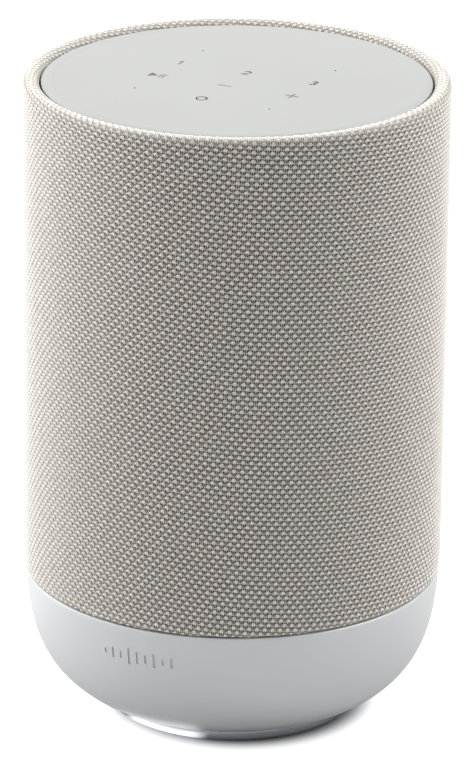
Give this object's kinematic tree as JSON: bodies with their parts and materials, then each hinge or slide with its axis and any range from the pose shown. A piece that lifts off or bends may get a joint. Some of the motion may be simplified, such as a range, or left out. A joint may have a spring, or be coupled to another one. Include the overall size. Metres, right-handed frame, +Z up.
{
  "type": "smart speaker",
  "caption": "Fabric-covered cylindrical smart speaker with a round touch panel on top, a bowl-shaped base on a polished foot ring, and a connector recess at the back.",
  "frame": {"origin": "centre of the foot pad's underside, on the surface that the speaker stands on", "axes": "+Z up along the speaker's axis, -Y towards the front, +X towards the right as seen from the front"},
  "size_m": [0.14, 0.14, 0.2195],
  "materials": {
    "panel_plastic": "fine matt, light warm grey",
    "grille_fabric": "woven, pale grey knots over taupe",
    "bowl_paint": "satin silver grey",
    "polished_ring": "polished",
    "foot_rubber": "matt",
    "seal_rubber": "matt",
    "dark_plastic": "fine texture",
    "inner_plastic": "fine texture",
    "steel": "plated",
    "brass": "machined",
    "aluminium": "extruded",
    "ferrite": "matt sintered",
    "circuit_board": "solder mask",
    "cone_paper": "fibrous paper",
    "dome_silk": "coated silk",
    "spider_cloth": "resin-treated cloth",
    "copper": "enamelled wire"
  },
  "bodies": {
    "speaker": {"touch_panel": "panel_plastic", "touch_board": "circuit_board", "microphone_1": "steel", "microphone_2": "steel", "microphone_3": "steel", "microphone_4": "steel", "top_carrier": "inner_plastic", "fabric_sleeve": "grille_fabric", "grille_frame": "dark_plastic", "base_bowl": "bowl_paint", "foot_ring": "polished_ring", "base_plate": "dark_plastic", "base_screw_1": "steel", "base_screw_2": "steel", "base_screw_3": "steel", "base_screw_4": "steel", "foot_pad": "foot_rubber", "power_board": "circuit_board", "transformer": "ferrite", "mains_capacitor": "dark_plastic", "main_board": "circuit_board", "board_standoff_1": "brass", "board_standoff_2": "brass", "board_standoff_3": "brass", "heatsink": "aluminium", "rear_io_panel": "dark_plastic", "power_inlet": "dark_plastic", "inlet_pin_left": "steel", "inlet_pin_right": "steel", "aux_jack": "steel", "usb_c_port": "steel", "usb_c_tongue": "dark_plastic", "io_screw_left": "steel", "io_screw_right": "steel", "cabinet_body": "dark_plastic", "cabinet_gasket": "seal_rubber", "cabinet_lid": "dark_plastic", "woofer_gasket": "seal_rubber", "woofer_basket": "steel", "woofer_surround": "seal_rubber", "woofer_spider": "spider_cloth", "woofer_top_plate": "steel", "woofer_magnet": "ferrite", "woofer_yoke": "steel", "woofer_screw_1": "steel", "woofer_screw_2": "steel", "woofer_screw_3": "steel", "woofer_screw_4": "steel", "tweeter_plate_left": "dark_plastic", "tweeter_plate_right": "dark_plastic", "tweeter_motor_left": "ferrite", "tweeter_motor_right": "ferrite"},
    "woofer_cone_assembly": {"woofer_cone": "cone_paper", "woofer_dust_cap": "cone_paper", "woofer_voice_coil": "copper"},
    "tweeter_left_moving": {"tweeter_dome_left": "dome_silk"},
    "tweeter_right_moving": {"tweeter_dome_right": "dome_silk"},
    "pairing_button_cap": {"pairing_button": "inner_plastic"},
    "mute_switch_knob": {"mute_switch": "inner_plastic"}
  },
  "joints": [
    {"name": "woofer_travel", "type": "slide", "parent": "speaker", "child": "woofer_cone_assembly", "axis": [0, -1, 0], "range_m": [-0.003, 0.003], "stiffness_N_per_m": 1200, "deforming": ["woofer_surround", "woofer_spider"]},
    {"name": "tweeter_left_travel", "type": "slide", "parent": "speaker", "child": "tweeter_left_moving", "axis": [-0.7071, -0.7071, 0], "range_m": [-0.0002, 0.0002], "stiffness_N_per_m": 1000},
    {"name": "tweeter_right_travel", "type": "slide", "parent": "speaker", "child": "tweeter_right_moving", "axis": [0.7071, -0.7071, 0], "range_m": [-0.0002, 0.0002], "stiffness_N_per_m": 1000},
    {"name": "pairing_button_press", "type": "slide", "parent": "speaker", "child": "pairing_button_cap", "axis": [0, -1, 0], "range_m": [0, 0.0008], "stiffness_N_per_m": 1500},
    {"name": "mute_switch_slide", "type": "slide", "parent": "speaker", "child": "mute_switch_knob", "axis": [1, 0, 0], "range_m": [0, 0.0026]}
  ]
}
